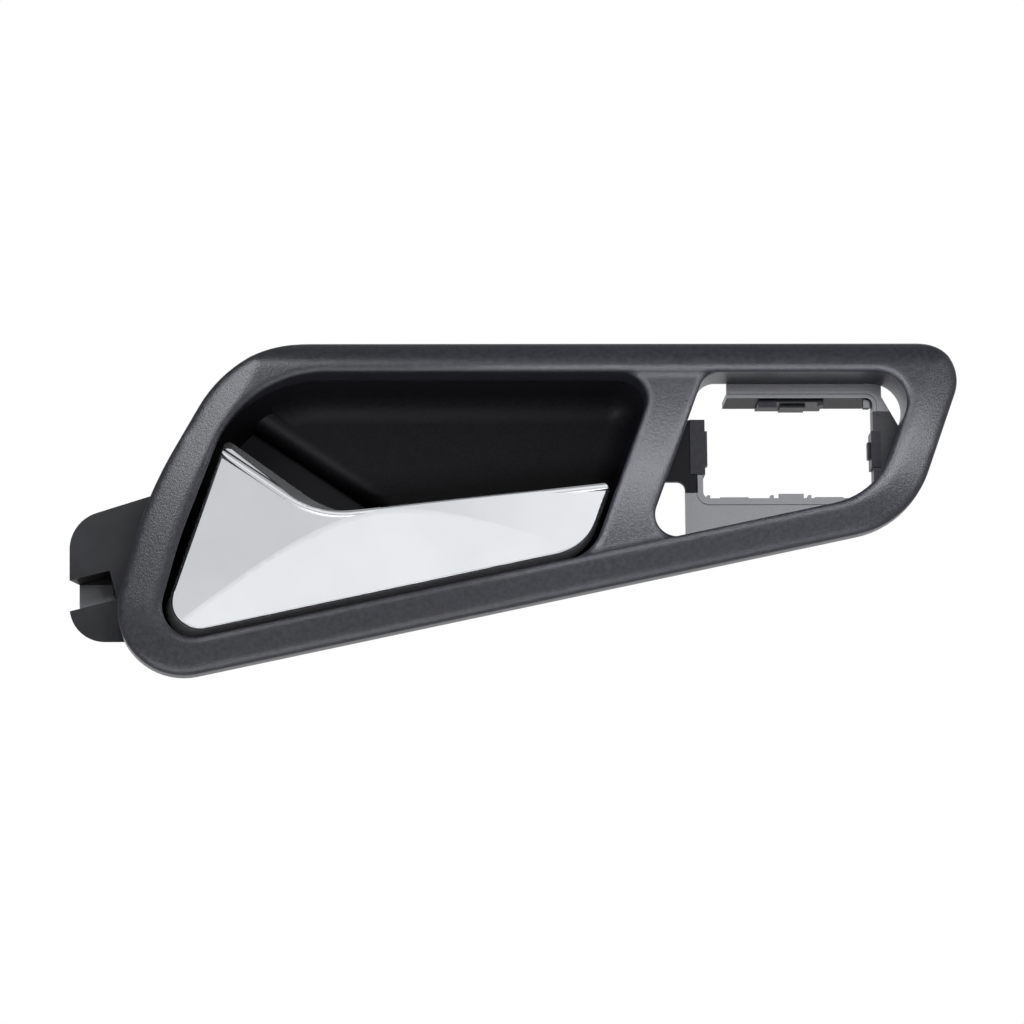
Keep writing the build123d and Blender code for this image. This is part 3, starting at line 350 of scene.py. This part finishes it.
def make_materials():
    """Every finish on the handle."""
    return {
        "bezel": grained(
            "bezel_grain", BEZEL_DARK, BEZEL_LIGHT,
            rough=(0.27, 0.35), specular=0.35, grain=1500.0, depth=0.00010, crease=CREASE_R,
        ),
        "bowl": grained(
            "bowl_satin", BOWL_DARK, BOWL_LIGHT,
            rough=(0.46, 0.56), specular=0.12, grain=2200.0, depth=0.00003,
        ),
        "moulded": smooth(
            "moulded_black", MOULDED_DARK, MOULDED_LIGHT, rough=(0.34, 0.44), specular=0.3, ripple=0.00004
        ),
        "housing": housing_black(),
        "frame": frame_plastic(),
        "rubber": smooth(
            "rubber_black", RUBBER_DARK, RUBBER_LIGHT, rough=(0.72, 0.85), specular=0.3, ripple=0.00003
        ),
        "chrome": bright_chrome(),
        "zinc": metal(
            "zinc_steel", ZINC_DARK, ZINC_LIGHT, rough=(0.28, 0.42), cells=900.0, ripple=0.00001
        ),
        "plated": metal(
            "plated_steel", ZINC_LIGHT, CHROME_DARK, rough=(0.16, 0.24), cells=600.0, ripple=0.000006
        ),
        "spring": metal(
            "spring_steel", SPRING_DARK, SPRING_LIGHT, rough=(0.26, 0.36), cells=1400.0, ripple=0.000008
        ),
        "clip": metal(
            "clip_steel", CLIP_DARK, CLIP_LIGHT, rough=(0.32, 0.45), cells=700.0, ripple=0.00001
        ),
    }


FINISH = {
    "bezel": "bezel",
    "pocket_bowl": "bowl",
    "hinge_housing": "housing",
    "lever_core": "moulded",
    "rest_bumper": "rubber",
    "open_bumper": "rubber",
    "hinge_pin": "plated",
    "pin_retainer": "zinc",
    "return_spring": "spring",
    "lever_cover": "chrome",
    "lever_screws": "zinc",
    "switch_frame": "frame",
    "switch_clip_left": "clip",
    "switch_clip_right": "clip",
    "switch_clip_top": "clip",
    "bowl_screws": "zinc",
    "housing_screws": "zinc",
    "frame_screws": "zinc",
}


def dress(piece, material):
    """Give a piece one material."""
    piece.data.materials.clear()
    piece.data.materials.append(material)


def soft_copy(name, limit):
    """A copy of a node whose shallow edges are shaded as one surface; it stands for the node."""
    source = nodes[name]
    mesh = bpy.data.meshes.new(name + "_soft")
    faces = [tuple(p.vertices) for p in source.data.polygons]
    mesh.from_pydata([tuple(v.co) for v in source.data.vertices], [], faces)
    work = bmesh.new()
    work.from_mesh(mesh)
    bmesh.ops.remove_doubles(work, verts=work.verts, dist=SAME_POINT)
    for face in work.faces:
        face.smooth = True
    for edge in work.edges:
        edge.smooth = edge.calc_face_angle(0.0) < radians(limit)
    work.to_mesh(mesh)
    work.free()
    made = bpy.data.objects.new(name + "_soft", mesh)
    made.matrix_world = source.matrix_world.copy()
    bpy.context.scene.collection.objects.link(made)
    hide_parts(name)
    return made


def make_spring(material):
    """The return spring as smooth-shaded wire between the housing and the lever."""
    spring = soft_copy("return_spring", WIRE_ANGLE)
    dress(spring, material)
    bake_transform(spring)


def make_floor():
    """A plain pale floor, well below the handle."""
    half = FLOOR_SIZE / 2
    corners = [(x, y, FLOOR_Z) for x, y in ((-half, -half), (half, -half), (half, half), (-half, half))]
    mesh = bpy.data.meshes.new("floor")
    mesh.from_pydata(corners, [], [(0, 1, 2, 3)])
    floor = bpy.data.objects.new("floor", mesh)
    bpy.context.scene.collection.objects.link(floor)
    pale = bpy.data.materials.new("floor_pale")
    pale.use_nodes = True
    shader = pale.node_tree.nodes["Principled BSDF"]
    shader.inputs["Base Color"].default_value = (FLOOR_COLOUR, FLOOR_COLOUR, FLOOR_COLOUR, 1.0)
    shader.inputs["Roughness"].default_value = FLOOR_ROUGH
    dress(floor, pale)


def make_world():
    """White behind the handle, an even fill, and a soft studio for mirrors that is darker above."""
    world = bpy.data.worlds.new("studio")
    bpy.context.scene.world = world
    world.use_nodes = True
    tree = world.node_tree
    tree.nodes.clear()
    place = tree.nodes.new("ShaderNodeTexCoord")
    height = tree.nodes.new("ShaderNodeVectorMath")
    height.operation = "DOT_PRODUCT"
    height.inputs[1].default_value = (-WORLD_LEFT, 0.0, 1.0)
    tree.links.new(place.outputs["Generated"], height.inputs[0])
    lift = tree.nodes.new("ShaderNodeMapRange")
    lift.inputs["From Min"].default_value = -WORLD_REACH
    lift.inputs["From Max"].default_value = WORLD_REACH
    tree.links.new(height.outputs["Value"], lift.inputs["Value"])
    steps = tree.nodes.new("ShaderNodeValToRGB")
    marks = steps.color_ramp.elements
    while len(marks) < len(WORLD_STEPS):
        marks.new(0.5)
    for mark, (at, level) in zip(marks, WORLD_STEPS):
        mark.position = (at + WORLD_REACH) / (2 * WORLD_REACH)
        mark.color = (*(level * c for c in WORLD_COLOUR), 1.0)
    tree.links.new(lift.outputs["Result"], steps.inputs["Fac"])
    soft, fill, white = [tree.nodes.new("ShaderNodeBackground") for _ in range(3)]
    for shade, strength in ((soft, 1.0), (fill, WORLD_FILL), (white, 1.0)):
        shade.inputs["Color"].default_value = (1.0, 1.0, 1.0, 1.0)
        shade.inputs["Strength"].default_value = strength
    tree.links.new(steps.outputs["Color"], soft.inputs["Color"])
    path = tree.nodes.new("ShaderNodeLightPath")
    glossy, seen = [tree.nodes.new("ShaderNodeMixShader") for _ in range(2)]
    tree.links.new(path.outputs["Is Glossy Ray"], glossy.inputs[0])
    tree.links.new(fill.outputs[0], glossy.inputs[1])
    tree.links.new(soft.outputs[0], glossy.inputs[2])
    tree.links.new(path.outputs["Is Camera Ray"], seen.inputs[0])
    tree.links.new(glossy.outputs[0], seen.inputs[1])
    tree.links.new(white.outputs[0], seen.inputs[2])
    out = tree.nodes.new("ShaderNodeOutputWorld")
    tree.links.new(seen.outputs[0], out.inputs["Surface"])


def toward(azimuth, elevation):
    """The direction to the viewer's side: degrees to the right of the front, and above it."""
    a = radians(azimuth)
    e = radians(elevation)
    return Vector((sin(a) * cos(e), -cos(a) * cos(e), sin(e)))


def lamp(name, aim, azimuth, elevation, distance, width, height, power):
    """A soft box that faces a point."""
    data = bpy.data.lights.new(name, "AREA")
    data.shape = "RECTANGLE"
    data.size = width
    data.size_y = height
    data.energy = power
    data.color = LAMP_COLOUR
    place = Vector(aim) + toward(azimuth, elevation) * distance
    made = bpy.data.objects.new(name, data)
    made.location = place
    made.rotation_euler = (Vector(aim) - place).to_track_quat("-Z", "Y").to_euler()
    made.visible_camera = False
    bpy.context.scene.collection.objects.link(made)
    return made


def keep_off(light, names):
    """Keep a lamp's light off some nodes."""
    spared = bpy.data.collections.new(light.name + "_spares")
    for name in names:
        spared.objects.link(nodes[name])
    light.light_linking.receiver_collection = spared
    for entry in spared.collection_objects:
        entry.light_linking.link_state = "EXCLUDE"


def keep_to(light, lit):
    """Keep a lamp's light on one node."""
    keep_off(light, [name for name in nodes if name != lit])


def make_lamps():
    """Boxes for the switch's frame, the upper left corner, the lips, the divider and the edge of the bowl."""
    front = lamp("front_box", **FRONT_BOX)
    corner = lamp("corner_box", **CORNER_BOX)
    low = lamp("low_box", **LOW_BOX)
    band = lamp("band_box", **BAND_BOX)
    edge = lamp("edge_box", **EDGE_BOX)
    keep_off(front, ["lever_cover", "pocket_bowl", "bezel"])
    keep_off(corner, ["lever_cover", "pocket_bowl"])
    keep_to(low, "bezel")
    keep_to(band, "bezel")
    keep_to(edge, "pocket_bowl")


def make_camera():
    """A long lens at the photograph's angle."""
    back = toward(VIEW_AZIMUTH, VIEW_ELEVATION)
    data = bpy.data.cameras.new("camera")
    data.sensor_width = SENSOR
    data.lens = SENSOR * VIEW_DISTANCE / VIEW_WIDTH
    data.clip_end = VIEW_END
    camera = bpy.data.objects.new("camera", data)
    turn = (-back).to_track_quat("-Z", "Y").to_matrix() @ Matrix.Rotation(radians(VIEW_ROLL), 3, "Z")
    place = Vector(VIEW_CENTRE) + back * VIEW_DISTANCE
    camera.matrix_world = Matrix.Translation(place) @ turn.to_4x4()
    bpy.context.scene.collection.objects.link(camera)
    bpy.context.scene.camera = camera


materials = make_materials()
for name, finish in FINISH.items():
    dress(nodes[name], materials[finish])
make_spring(materials["spring"])
make_floor()
make_world()
make_lamps()
make_camera()
bpy.context.scene.view_settings.view_transform = "Standard"
